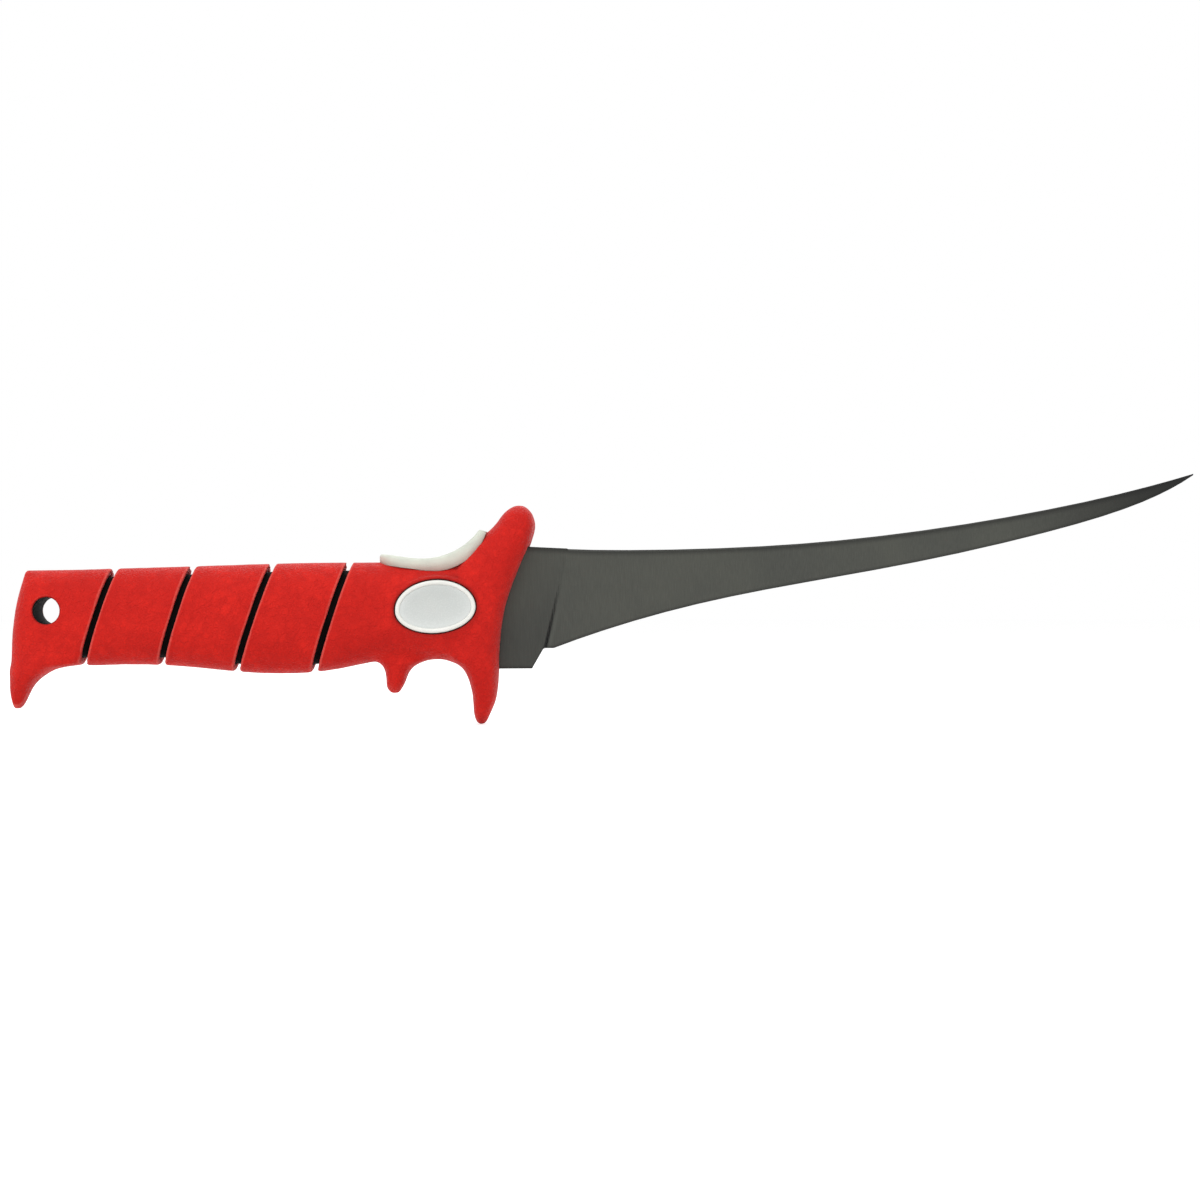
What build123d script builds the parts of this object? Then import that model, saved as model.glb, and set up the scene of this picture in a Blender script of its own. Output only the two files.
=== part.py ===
from build123d import *
from math import copysign, cos, pi, sin
import os

# A fillet knife: a slim upswept blade in a sectioned rubber grip.
# +X runs along the knife to the tip, +Z is up towards the spine, Y is the
# thickness. The origin is the centre of the lanyard hole, on the mid-plane.
# The right side, which faces -Y, and the left side mirror each other.

# Handle
handle_length = 145.8  # rear of the pommel to the guard's front face
lanyard_setback = 11.5  # rear of the pommel to the centre of the lanyard hole
grip_height = 32.8  # top to bottom at the belly
grip_thickness = 26.0  # side to side at the belly
grip_wall = 2.4  # rubber over the hard core
tail_round = 7.0  # corners of the pommel, seen from above
tail_reach = 30.0  # how far forward the pommel's own outline is carried
hook_drop = 29.5  # hook tip below the lanyard hole
hook_reach = 22.0  # rear of the pommel to the front of the hook's root
spur_drop = 24.9  # spur tip below the lanyard hole
spur_width = 11.0  # root of the spur, rear to front
horn_height = 31.6  # horn tip above the lanyard hole
guard_drop = 34.1  # guard tip below the lanyard hole
guard_depth = 16.0  # root of the guard, rear to front
squareness = 2.8  # power of the rounded sections: 2 is an ellipse
section_points = 12  # round each of those sections

# Grooves between the rubber sections
groove_width = 1.85
groove_bow = 0.35  # how far a groove bends to the rear of its chord

# Thumb rest
thumb_reach = 35.7  # guard's front face to the rear of the thumb rest
thumb_half_width = 8.4
thumb_wall = 1.0  # rubber left under the thumb rest
thumb_round = 0.8

# Medallion on each side
medallion_length = 24.0
medallion_rise = 8.5  # its longest line to its top
medallion_fall = 7.2  # its longest line to its bottom
medallion_level = 0.6  # its longest line above the lanyard hole
medallion_tilt = 4.5  # degrees, rising to the front
medallion_depth = 3.2
medallion_proud = 0.2  # face of the rim over the rubber land round it
land_margin = 1.3  # rubber land round the rim
land_proud = 0.45  # land over the side of the grip
rim_width = 1.4
rim_round = 0.6
panel_sink = 0.35  # panel below the rim's face

# Lanyard bush
bore_radius = 4.0
bush_wall = 1.1
bush_sink = 1.2  # bush end below the rubber's side

# Rivets through the core and the tang
rivet_radius = 2.4
rivet_head_radius = 3.8
rivet_head_depth = 1.1

# Blade
blade_length = 208.3  # guard's front face to the tip
blade_height = 36.65  # ricasso at the guard, top to bottom
blade_thickness = 2.5  # at the ricasso
edge_width = 0.12  # flat left on the cutting edge
bevel_height = 0.9  # the cutting edge's own bevel
spine_chamfer = 0.35
tang_height = 15.0
tang_gap = 3.5  # tang end to the lanyard bush

overrun = 5.0  # cutters reach this far past what they cut

# Rows run from the rear to the front, in shares of the handle's length, the
# grip's height and the grip's thickness: along, top, bottom, half thickness
barrel_shares = [
    (-0.014, 0.358, -0.486, 0.400),
    (0.104, 0.366, -0.484, 0.423),
    (0.225, 0.380, -0.495, 0.446),
    (0.372, 0.398, -0.518, 0.477),
    (0.463, 0.411, -0.558, 0.492),
    (0.538, 0.422, -0.575, 0.500),
    (0.651, 0.432, -0.547, 0.492),
    (0.750, 0.433, -0.461, 0.469),
    (0.870, 0.434, -0.445, 0.460),
    (0.966, 0.434, -0.438, 0.446),
]

# Rear face of the pommel: level in shares of the grip's height, and the step
# forward from the rearmost point in shares of the lanyard setback
tail_shares = [
    (-0.55, 0.0),
    (-0.35, 0.026),
    (-0.125, 0.067),
    (0.18, 0.231),
    (0.378, 0.404),
    (0.5, 0.513),
]
tail_width_share = 0.9  # of the grip's thickness

# Hook: level in shares of the hook's drop, rear and front in shares of its
# reach, half thickness in shares of the grip's thickness
hook_shares = [
    (-0.200, 0.055, 1.150, 0.400),
    (-0.330, 0.027, 1.180, 0.392),
    (-0.440, 0.005, 1.200, 0.380),
    (-0.539, -0.014, 1.000, 0.366),
    (-0.592, -0.023, 0.595, 0.352),
    (-0.654, -0.025, 0.441, 0.334),
    (-0.749, -0.023, 0.300, 0.300),
    (-0.868, -0.014, 0.209, 0.240),
    (-0.949, 0.009, 0.157, 0.175),
    (-0.980, 0.023, 0.127, 0.125),
    (-0.996, 0.045, 0.091, 0.060),
]

# Spur: level in shares of its drop, rear and front in shares of its width from
# its own place along the handle, half thickness in shares of the grip's
spur_place_share = 0.788
spur_shares = [
    (-0.520, -0.630, 1.050, 0.285),
    (-0.610, -0.500, 0.737, 0.292),
    (-0.660, -0.349, 0.537, 0.288),
    (-0.705, -0.296, 0.419, 0.275),
    (-0.775, -0.263, 0.333, 0.255),
    (-0.884, -0.249, 0.242, 0.220),
    (-0.952, -0.199, 0.151, 0.170),
    (-0.992, -0.108, 0.046, 0.080),
]

# Guard, top to bottom: level in shares of the horn's height above the origin
# and of the guard's drop below it, rear and front in shares of the guard's
# depth from its front face, half thickness in shares of the grip's
guard_shares = [
    (0.998, 0.325, 0.437, 0.062),
    (0.981, 0.244, 0.512, 0.154),
    (0.949, 0.150, 0.581, 0.223),
    (0.886, 0.036, 0.652, 0.292),
    (0.807, -0.081, 0.677, 0.342),
    (0.712, -0.290, 0.638, 0.377),
    (0.611, -0.490, 0.570, 0.408),
    (0.490, -0.690, 0.465, 0.431),
    (0.348, -0.920, 0.350, 0.446),
    (0.101, -1.000, 0.174, 0.454),
    (-0.235, -1.050, 0.050, 0.446),
    (-0.428, -0.970, 0.022, 0.431),
    (-0.498, -0.700, 0.014, 0.415),
    (-0.566, -0.600, 0.006, 0.396),
    (-0.674, -0.520, -0.014, 0.354),
    (-0.798, -0.480, -0.063, 0.292),
    (-0.902, -0.465, -0.153, 0.215),
    (-0.968, -0.421, -0.219, 0.123),
    (-0.997, -0.363, -0.300, 0.046),
]
core_guard_share = 0.55  # the core fills the guard up to this share of it

# Grooves: place at the top and at the bottom in shares of the handle's length
groove_shares = [(0.227, 0.138), (0.385, 0.299), (0.548, 0.456), (0.704, 0.616)]
groove_top_share = 0.55  # ends of the grooves, in shares of the grip's height
groove_bottom_share = -0.65

# Thumb rest, rear to front: back from the guard's front face in shares of the
# thumb reach, level in shares of the horn's height
thumb_top_shares = [
    (1.0, 0.538),
    (0.797, 0.510),
    (0.645, 0.494),
    (0.435, 0.533),
    (0.284, 0.623),
    (0.158, 0.766),
]
thumb_seat_shares = [
    (1.0, 0.441),
    (0.823, 0.412),
    (0.672, 0.389),
    (0.479, 0.379),
    (0.326, 0.434),
    (0.197, 0.546),
    (0.100, 0.747),
]

# Blade, heel to tip: along in shares of the blade's length, spine and edge in
# shares of its height, thickness in shares of the ricasso's
blade_shares = [
    (0.062, 0.518, -0.345, 1.00),
    (0.196, 0.496, -0.082, 0.95),
    (0.330, 0.514, 0.110, 0.88),
    (0.464, 0.562, 0.254, 0.80),
    (0.598, 0.647, 0.394, 0.71),
    (0.732, 0.766, 0.561, 0.61),
    (0.866, 0.919, 0.766, 0.49),
    (0.940, 1.023, 0.921, 0.40),
    (1.000, 1.120, 1.109, 0.30),
]
heel_share = 0.084  # where the edge begins, along the blade's length
heel_level_share = -0.306  # and its level, in shares of the blade's height
bevel_limit_share = 0.3  # the bevel's most, of the blade's height there
edge_thickness_share = 0.22  # thickness above the bevel, of the spine's

# Ricasso: along in shares of the blade's length from the guard's front face,
# level in shares of the blade's height
ricasso_shares = [
    (0.024, 0.529),
    (0.062, 0.518),
    (0.0995, 0.5085),
    (0.0668, -0.306),
    (0.0640, -0.312),
    (0.048, -0.473),
    (-0.010, -0.475),
]
shoulder_share = -0.46  # tang shoulder, in shares of the guard's depth

medallion_place_share = 0.873
rivet_place_shares = [0.260, 0.582, medallion_place_share]
rivet_half_share = 0.325  # half length of a rivet, of the grip's thickness

guard_x = handle_length - lanyard_setback
shoulder_x = guard_x + shoulder_share * guard_depth
spur_x = spur_place_share * handle_length - lanyard_setback
medallion_x = medallion_place_share * handle_length - lanyard_setback
thumb_rear_x = guard_x - thumb_reach
bush_radius = bore_radius + bush_wall
tang_end = bush_radius + tang_gap
rivet_half = rivet_half_share * grip_thickness
rivet_places = [(share * handle_length - lanyard_setback, 0) for share in rivet_place_shares]
cut_height = horn_height + guard_drop + overrun
cut_width = grip_thickness + overrun


def half_thickness(place_share):
    # Half thickness of the grip at a place along the handle
    for (rear, *_, rear_half), (front, *_, front_half) in zip(barrel_shares, barrel_shares[1:]):
        if rear <= place_share <= front:
            step = (place_share - rear) / (front - rear)
            return (rear_half + step * (front_half - rear_half)) * grip_thickness


bush_half = half_thickness(lanyard_setback / handle_length) - bush_sink
land_face = half_thickness(medallion_place_share) + land_proud
medallion_face = land_face + medallion_proud
medallion_floor = medallion_face - medallion_depth


def rounded(middle, halves):
    # Points round a section between an ellipse and a rectangle
    power = 2 / squareness
    points = []
    for step in range(section_points):
        turn = 2 * pi * step / section_points
        across = copysign(abs(cos(turn)) ** power, cos(turn))
        up = copysign(abs(sin(turn)) ** power, sin(turn))
        points.append((middle[0] + across * halves[0], middle[1] + up * halves[1]))
    return points


def barrel_form(inset):
    # Body of the grip, drawn in by the inset on every side
    with BuildPart() as form:
        for along, top, bottom, half in barrel_shares:
            upper = top * grip_height - inset
            lower = bottom * grip_height + inset
            halves = ((upper - lower) / 2, half * grip_thickness - inset)
            station = (along * handle_length - lanyard_setback, 0, 0)
            with BuildSketch(Plane(station, x_dir=(0, 0, 1), z_dir=(1, 0, 0))):
                with BuildLine():
                    Spline(*rounded(((upper + lower) / 2, 0), halves), periodic=True)
                make_face()
        loft()
        add(tail_waste(inset), mode=Mode.SUBTRACT)
    return form.part


def tail_waste(inset):
    # What lies outside the pommel's rounded rear, as seen from above
    front = tail_reach - lanyard_setback
    with BuildPart() as tail:
        for level, step in tail_shares:
            length = tail_reach - step * lanyard_setback - inset
            with BuildSketch(Plane.XY.offset(level * grip_height)):
                with Locations((front - length / 2, 0)):
                    RectangleRounded(
                        length, tail_width_share * grip_thickness - 2 * inset, tail_round - inset
                    )
        loft()
    with BuildPart() as waste:
        with BuildSketch(Plane.XZ):
            with Locations((front - tail_round, 0)):
                Rectangle(
                    tail_reach + overrun,
                    (tail_shares[-1][0] - tail_shares[0][0]) * grip_height,
                    align=(Align.MAX, Align.CENTER),
                )
        extrude(amount=cut_width, both=True)
        add(tail.part, mode=Mode.SUBTRACT)
    return waste.part


def upright_form(rows, inset):
    # A piece of the grip stacked from level sections: level, rear, front, half
    with BuildPart() as form:
        for level, rear, front, half in rows:
            halves = ((front - rear) / 2 - inset, half - inset)
            with BuildSketch(Plane.XY.offset(level)):
                with BuildLine():
                    Spline(*rounded(((rear + front) / 2, 0), halves), periodic=True)
                make_face()
        loft()
    return form.part


def guard_rows(reach_share):
    # Rows of the guard up to a share of its height and of its drop
    rows = []
    for level, rear, front, half in guard_shares:
        if abs(level) <= reach_share:
            rows.append(
                (
                    level * (horn_height if level > 0 else guard_drop),
                    guard_x + rear * guard_depth,
                    guard_x + front * guard_depth,
                    half * grip_thickness,
                )
            )
    return rows


def groove_points(index, shift):
    # Top, middle and bottom of a groove, moved along the handle by the shift
    top, bottom = (share * handle_length - lanyard_setback + shift for share in groove_shares[index])
    upper = groove_top_share * grip_height
    lower = groove_bottom_share * grip_height
    return [(top, upper), ((top + bottom) / 2 - groove_bow, (upper + lower) / 2), (bottom, lower)]


def section_space(first, last):
    # The space of one rubber section, from groove to groove
    rear = groove_points(first, groove_width / 2)
    front = groove_points(last, -groove_width / 2)
    with BuildPart() as space:
        with BuildSketch(Plane.XZ):
            with BuildLine():
                ThreePointArc(*rear)
                Line(rear[2], front[2])
                ThreePointArc(*front)
                Line(front[0], rear[0])
            make_face()
        extrude(amount=cut_width, both=True)
    return space.part


def end_space(index, shift, end):
    # The space beyond a groove, out to the given end of the handle
    top, middle, bottom = groove_points(index, shift)
    with BuildPart() as space:
        with BuildSketch(Plane.XZ):
            with BuildLine():
                ThreePointArc(top, middle, bottom)
                Polyline(
                    bottom,
                    (bottom[0], -cut_height),
                    (end, -cut_height),
                    (end, cut_height),
                    (top[0], cut_height),
                    top,
                )
            make_face()
        extrude(amount=cut_width, both=True)
    return space.part


def thumb_point(share_pair, drop):
    back, level = share_pair
    return (guard_x - back * thumb_reach, level * horn_height - drop)


def thumb_space(top_shares, drop):
    # The thumb rest's own space, its seat lowered and its sides widened by the
    # drop. Without a top line it is open upwards.
    seat = [thumb_point(pair, drop) for pair in thumb_seat_shares]
    with BuildPart() as space:
        with BuildSketch(Plane.XZ.offset(-cut_width)):
            with BuildLine():
                Spline(*seat)
                if top_shares:
                    top = [thumb_point(pair, 0) for pair in top_shares]
                    Spline(*top)
                    Line(top[-1], seat[-1])
                    Line(top[0], seat[0])
                else:
                    Polyline(seat[-1], (seat[-1][0], cut_height), (seat[0][0], cut_height), seat[0])
            make_face()
        extrude(amount=2 * cut_width)
        with BuildSketch(Plane.XY.offset(-cut_height)):
            with Locations((thumb_rear_x + thumb_half_width, 0)):
                Circle(thumb_half_width + drop)
                Rectangle(
                    thumb_reach + overrun,
                    2 * (thumb_half_width + drop),
                    align=(Align.MIN, Align.CENTER),
                )
        extrude(amount=2 * cut_height, mode=Mode.INTERSECT)
    return space.part


def oval(inset):
    # The medallion's outline at its place, drawn in by the inset: two half
    # ellipses that share its longest line
    with BuildSketch() as outline:
        with BuildLine():
            for height, start in ((medallion_rise, 0), (medallion_fall, 180)):
                EllipticalCenterArc(
                    (0, 0),
                    medallion_length / 2 - inset,
                    height - inset,
                    start_angle=start,
                    arc_size=180,
                )
        make_face()
    return Location((medallion_x, medallion_level, 0), (0, 0, medallion_tilt)) * outline.sketch


def rivet_cover(place_share):
    # Rubber that fills the core over both heads of a rivet
    with BuildPart() as cover:
        with BuildSketch(Plane.XZ.offset(rivet_half)):
            with Locations((place_share * handle_length - lanyard_setback, 0)):
                Circle(rivet_head_radius)
        extrude(amount=half_thickness(place_share) - grip_wall / 2 - rivet_half)
        mirror(about=Plane.XZ)
    return cover.part


os.makedirs("parts", exist_ok=True)

# Blade: ground part, ricasso and hidden tang in one
with BuildPart() as blade:
    for along, spine, edge, thickness in blade_shares:
        spine_z = spine * blade_height
        edge_z = edge * blade_height
        bevel = min(bevel_height, bevel_limit_share * (spine_z - edge_z))
        half = thickness * blade_thickness / 2
        chamfer_width = thickness * spine_chamfer
        with BuildSketch(Plane.YZ.offset(guard_x + along * blade_length)):
            with BuildLine():
                Polyline(
                    (half - chamfer_width, spine_z),
                    (half, spine_z - bevel / 2),
                    (half * edge_thickness_share, edge_z + bevel),
                    (edge_width / 2, edge_z),
                    (-edge_width / 2, edge_z),
                    (-half * edge_thickness_share, edge_z + bevel),
                    (-half, spine_z - bevel / 2),
                    (chamfer_width - half, spine_z),
                    close=True,
                )
            make_face()
    loft()
    with BuildSketch(Plane.XZ):
        with Locations((guard_x + heel_share * blade_length, heel_level_share * blade_height)):
            Rectangle(blade_length, blade_height, align=Align.MAX)
    extrude(amount=blade_thickness, both=True, mode=Mode.SUBTRACT)
    with BuildSketch(Plane.XZ):
        with BuildLine():
            Polyline(
                (shoulder_x, -tang_height / 2),
                (tang_end, -tang_height / 2),
                (tang_end, tang_height / 2),
                (shoulder_x, tang_height / 2),
                *[(guard_x + x * blade_length, z * blade_height) for x, z in ricasso_shares],
                close=True,
            )
        make_face()
    extrude(amount=blade_thickness / 2, both=True)
    with BuildSketch(Plane.XZ):
        with Locations(*rivet_places):
            Circle(rivet_radius)
    extrude(amount=blade_thickness, both=True, mode=Mode.SUBTRACT)
blade.part.label = "blade"
export_step(blade.part, "parts/blade.step")

# Rivets: a shank and two low heads, all three alike
with BuildPart() as core_rivets:
    with BuildSketch(Plane.XZ):
        with Locations(*rivet_places):
            Circle(rivet_radius)
    extrude(amount=rivet_half, both=True)
    with BuildSketch(Plane.XZ.offset(rivet_half)):
        with Locations(*rivet_places):
            Circle(rivet_head_radius)
    extrude(amount=-rivet_head_depth)
    mirror(about=Plane.XZ)
core_rivets.part.label = "core_rivets"
export_step(core_rivets.part, "parts/core_rivets.step")

# Lanyard bush: a tube through the core, short of the rubber's sides
with BuildPart() as lanyard_bush:
    with BuildSketch(Plane.XZ):
        Circle(bush_radius)
        Circle(bore_radius, mode=Mode.SUBTRACT)
    extrude(amount=bush_half, both=True)
lanyard_bush.part.label = "lanyard_bush"
export_step(lanyard_bush.part, "parts/lanyard_bush.step")

# Flat-floored pockets for both medallions, open to the sides
with BuildPart() as medallion_space:
    with BuildSketch(Plane.XZ.offset(medallion_floor)):
        add(oval(0))
    extrude(amount=cut_width)
    mirror(about=Plane.XZ)

# Pockets for the rivet heads, open to the sides
with BuildPart() as head_space:
    with BuildSketch(Plane.XZ.offset(rivet_half - rivet_head_depth)):
        with Locations(*rivet_places):
            Circle(rivet_head_radius)
    extrude(amount=cut_width)
    mirror(about=Plane.XZ)

# Core in one solid, before it is halved and hollowed
with BuildPart() as core_body:
    add(barrel_form(grip_wall))
    add(upright_form(guard_rows(core_guard_share), grip_wall))
    add(thumb_space(None, thumb_wall), mode=Mode.SUBTRACT)

# Core halves, closed on the tang, the bush and the rivets
with BuildPart() as core_hollow:
    add(core_body.part)
    add(blade.part, mode=Mode.SUBTRACT)
    with BuildSketch(Plane.XZ):
        Circle(bush_radius)
        with Locations(*rivet_places):
            Circle(rivet_radius)
    extrude(amount=cut_width, both=True, mode=Mode.SUBTRACT)
    add(head_space.part, mode=Mode.SUBTRACT)
    add(medallion_space.part, mode=Mode.SUBTRACT)

with BuildPart() as core_right:
    split(core_hollow.part, bisect_by=Plane.XZ, keep=Keep.TOP)
core_right.part.label = "core_right"
export_step(core_right.part, "parts/core_right.step")

with BuildPart() as core_left:
    split(core_hollow.part, bisect_by=Plane.XZ, keep=Keep.BOTTOM)
core_left.part.label = "core_left"
export_step(core_left.part, "parts/core_left.step")

# Rubber over the barrel, hollow where the core fills it
with BuildPart() as sleeve:
    add(barrel_form(0))
    add(core_body.part, mode=Mode.SUBTRACT)

# Pommel: the rear of the sleeve with its hook, pierced by the lanyard hole
with BuildPart() as grip_pommel:
    add(
        upright_form(
            [
                (
                    level * hook_drop,
                    rear * hook_reach - lanyard_setback,
                    front * hook_reach - lanyard_setback,
                    half * grip_thickness,
                )
                for level, rear, front, half in hook_shares
            ],
            0,
        )
    )
    add(core_body.part, mode=Mode.SUBTRACT)
    add(sleeve.part)
    add(end_space(0, -groove_width / 2, -lanyard_setback - overrun), mode=Mode.INTERSECT)
    add(lanyard_bush.part, mode=Mode.SUBTRACT)
    with BuildSketch(Plane.XZ):
        Circle(bore_radius)
    extrude(amount=cut_width, both=True, mode=Mode.SUBTRACT)
grip_pommel.part.label = "grip_pommel"
export_step(grip_pommel.part, "parts/grip_pommel.step")

# Three plain bands
with BuildPart() as grip_band_rear:
    add(sleeve.part)
    add(section_space(0, 1), mode=Mode.INTERSECT)
    add(rivet_cover(rivet_place_shares[0]))
grip_band_rear.part.label = "grip_band_rear"
export_step(grip_band_rear.part, "parts/grip_band_rear.step")

with BuildPart() as grip_band_middle:
    add(sleeve.part)
    add(section_space(1, 2), mode=Mode.INTERSECT)
grip_band_middle.part.label = "grip_band_middle"
export_step(grip_band_middle.part, "parts/grip_band_middle.step")

with BuildPart() as grip_band_front:
    add(sleeve.part)
    add(section_space(2, 3), mode=Mode.INTERSECT)
    add(rivet_cover(rivet_place_shares[1]))
grip_band_front.part.label = "grip_band_front"
export_step(grip_band_front.part, "parts/grip_band_front.step")

# Front of the grip: horn, guard, spur and the land round each medallion
with BuildPart() as grip_front:
    add(barrel_form(0))
    add(upright_form(guard_rows(1), 0))
    add(
        upright_form(
            [
                (
                    level * spur_drop,
                    spur_x + rear * spur_width,
                    spur_x + front * spur_width,
                    half * grip_thickness,
                )
                for level, rear, front, half in spur_shares
            ],
            0,
        )
    )
    with BuildSketch(Plane.XZ):
        add(oval(-land_margin))
    extrude(amount=land_face, both=True)
    add(end_space(3, groove_width / 2, guard_x + guard_depth + overrun), mode=Mode.INTERSECT)
    add(core_body.part, mode=Mode.SUBTRACT)
    add(blade.part, mode=Mode.SUBTRACT)
    add(medallion_space.part, mode=Mode.SUBTRACT)
    add(thumb_space(None, 0), mode=Mode.SUBTRACT)
grip_front.part.label = "grip_front"
export_step(grip_front.part, "parts/grip_front.step")

# Thumb rest: a cream insert seated in the rubber behind the horn
with BuildPart() as thumb_rest:
    add(thumb_space(thumb_top_shares, 0))
    upper_face = thumb_rest.faces().filter_by(GeomType.EXTRUSION).sort_by(Axis.Z)[-1]
    fillet(upper_face.edges(), radius=thumb_round)
thumb_rest.part.label = "thumb_rest"
export_step(thumb_rest.part, "parts/thumb_rest.step")

# Medallion: a rim on the pocket's floor, and a flat panel inside it
with BuildPart() as medallion_rim_right:
    with BuildSketch(Plane.XZ.offset(medallion_floor)):
        add(oval(0))
        add(oval(rim_width), mode=Mode.SUBTRACT)
    extrude(amount=medallion_depth)
    fillet(medallion_rim_right.faces().sort_by(Axis.Y)[0].edges(), radius=rim_round)
medallion_rim_right.part.label = "medallion_rim_right"
export_step(medallion_rim_right.part, "parts/medallion_rim_right.step")

with BuildPart() as medallion_panel_right:
    with BuildSketch(Plane.XZ.offset(medallion_floor)):
        add(oval(rim_width))
    extrude(amount=medallion_depth - panel_sink)
medallion_panel_right.part.label = "medallion_panel_right"
export_step(medallion_panel_right.part, "parts/medallion_panel_right.step")

with BuildPart() as medallion_rim_left:
    mirror(medallion_rim_right.part, about=Plane.XZ)
medallion_rim_left.part.label = "medallion_rim_left"
export_step(medallion_rim_left.part, "parts/medallion_rim_left.step")

with BuildPart() as medallion_panel_left:
    mirror(medallion_panel_right.part, about=Plane.XZ)
medallion_panel_left.part.label = "medallion_panel_left"
export_step(medallion_panel_left.part, "parts/medallion_panel_left.step")
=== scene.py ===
import math

import bmesh
import bpy
import numpy as np
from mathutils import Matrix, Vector, noise
from mathutils.bvhtree import BVHTree


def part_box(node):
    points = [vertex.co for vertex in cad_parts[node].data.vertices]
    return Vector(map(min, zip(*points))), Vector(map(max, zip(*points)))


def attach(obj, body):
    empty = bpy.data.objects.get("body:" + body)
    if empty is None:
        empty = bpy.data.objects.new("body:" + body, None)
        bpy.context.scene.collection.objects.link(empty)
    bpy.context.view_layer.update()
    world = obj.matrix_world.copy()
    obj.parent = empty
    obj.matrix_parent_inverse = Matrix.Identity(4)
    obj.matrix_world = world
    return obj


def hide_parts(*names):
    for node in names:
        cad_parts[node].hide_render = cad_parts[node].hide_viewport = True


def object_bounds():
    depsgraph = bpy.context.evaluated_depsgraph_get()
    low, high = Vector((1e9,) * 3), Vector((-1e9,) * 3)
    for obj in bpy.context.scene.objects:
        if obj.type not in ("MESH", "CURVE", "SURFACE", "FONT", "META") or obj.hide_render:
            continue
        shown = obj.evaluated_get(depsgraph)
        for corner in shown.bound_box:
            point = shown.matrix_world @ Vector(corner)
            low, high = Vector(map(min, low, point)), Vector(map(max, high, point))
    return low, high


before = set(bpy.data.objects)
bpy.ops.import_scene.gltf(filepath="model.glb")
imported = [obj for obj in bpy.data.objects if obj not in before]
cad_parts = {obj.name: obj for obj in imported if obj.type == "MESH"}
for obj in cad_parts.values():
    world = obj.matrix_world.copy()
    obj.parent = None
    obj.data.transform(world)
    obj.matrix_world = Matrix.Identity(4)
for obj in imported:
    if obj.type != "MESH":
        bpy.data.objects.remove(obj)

# A fillet knife: a slim dark blade in a red rubber grip that four grooves cut into sections.
# Lengths are in metres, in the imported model's own frame: +X runs to the tip, +Z to the spine,
# and the photographed side faces -Y.
mm = 0.001
scene = bpy.context.scene
cadBox = [list(corner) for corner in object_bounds()]
print("frame loaded with", len(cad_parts), "nodes")


# Camera
cameraSetup = {
    "place": (164.65 * mm, -1100 * mm, 3.2 * mm),
    "frameWidth": 360 * mm,  # width of the view at the knife
    "sensor": 36,
    "nearest": 10 * mm,
}


def placeCamera():
    lens = bpy.data.cameras.new("productCamera")
    lens.sensor_width = cameraSetup["sensor"]
    lens.lens = cameraSetup["sensor"] * -cameraSetup["place"][1] / cameraSetup["frameWidth"]
    lens.clip_start = cameraSetup["nearest"]
    camera = bpy.data.objects.new("productCamera", lens)
    camera.location = cameraSetup["place"]
    camera.rotation_euler = (math.radians(90), 0, 0)
    scene.collection.objects.link(camera)
    scene.camera = camera


# Node helpers
def addNode(tree, kind, **values):
    node = tree.nodes.new(kind)
    for name, value in values.items():
        setattr(node, name, value)
    return node


def setInputs(node, **values):
    for name, value in values.items():
        node.inputs[name.replace("_", " ")].default_value = value
    return node


def startGroup(name, inputs, outputs):
    tree = bpy.data.node_groups.new(name, "ShaderNodeTree")
    for label, kind, value in inputs:
        socket = tree.interface.new_socket(label, in_out="INPUT", socket_type="NodeSocket" + kind)
        if value is not None:
            socket.default_value = value
    for label, kind in outputs:
        tree.interface.new_socket(label, in_out="OUTPUT", socket_type="NodeSocket" + kind)
    return tree, tree.nodes.new("NodeGroupInput"), tree.nodes.new("NodeGroupOutput")


def useGroup(tree, group, **values):
    node = tree.nodes.new("ShaderNodeGroup")
    node.node_tree = group
    return setInputs(node, **values)


def mathNode(tree, operation, first, second=None):
    node = addNode(tree, "ShaderNodeMath", operation=operation)
    for socket, value in zip(node.inputs, (first, second)):
        if value is None:
            continue
        if isinstance(value, (int, float)):
            socket.default_value = value
        else:
            tree.links.new(value, socket)
    return node.outputs[0]


def rampNode(tree, value, low, high, outLow=0.0, outHigh=1.0):
    # a smooth step from outLow to outHigh while the value goes from low to high
    node = addNode(tree, "ShaderNodeMapRange", interpolation_type="SMOOTHSTEP")
    tree.links.new(value, node.inputs["Value"])
    limits = {"From Min": low, "From Max": high, "To Min": outLow, "To Max": outHigh}
    for name, limit in limits.items():
        if isinstance(limit, (int, float)):
            node.inputs[name].default_value = limit
        else:
            tree.links.new(limit, node.inputs[name])
    return node.outputs["Result"]


def mixColours(tree, factor, first, second):
    node = addNode(tree, "ShaderNodeMix", data_type="RGBA", blend_type="MIX")
    sockets = (node.inputs[0], node.inputs[6], node.inputs[7])  # factor and the two colours
    for socket, value in zip(sockets, (factor, first, second)):
        if isinstance(value, (int, float)):
            socket.default_value = value
        elif isinstance(value, tuple):
            socket.default_value = (*value, 1)
        else:
            tree.links.new(value, socket)
    return node.outputs[2]


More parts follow.
